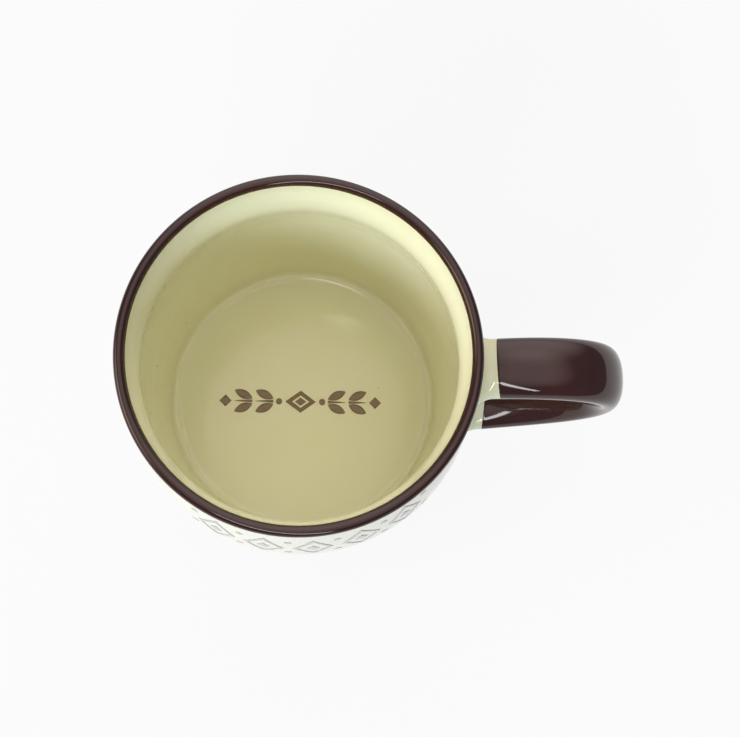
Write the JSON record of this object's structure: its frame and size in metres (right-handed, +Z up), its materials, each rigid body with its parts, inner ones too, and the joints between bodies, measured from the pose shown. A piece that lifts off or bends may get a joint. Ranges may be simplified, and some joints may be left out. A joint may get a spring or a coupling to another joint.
{
  "type": "coffee mug",
  "caption": "Glazed stoneware coffee mug with a rounded belly, a dark band over the lip, a cream inside and a brown strap handle with cream roots.",
  "frame": {"origin": "middle of the footprint box of cup and handle together, on the plane the foot ring stands on", "axes": "+Z up along the cup's axis, +X from the cup towards its handle"},
  "size_m": [0.1352, 0.0956, 0.09],
  "materials": {
    "stoneware": "bare fired clay, matt",
    "cream_glaze": "glossy cream-yellow glaze",
    "white_glaze": "glossy off-white glaze",
    "brown_glaze": "glossy dark brown glaze",
    "slip_clay": "fired joining slip, matt"
  },
  "bodies": {
    "root": {"cup_body": "stoneware", "inner_glaze": "cream_glaze", "outer_glaze": "white_glaze", "rim_glaze_band": "brown_glaze", "base_glaze": "white_glaze", "handle_strap": "stoneware", "handle_brown_glaze": "brown_glaze", "upper_root_glaze": "cream_glaze", "lower_root_glaze": "cream_glaze", "upper_slip_joint": "slip_clay", "lower_slip_joint": "slip_clay"}
  },
  "joints": []
}
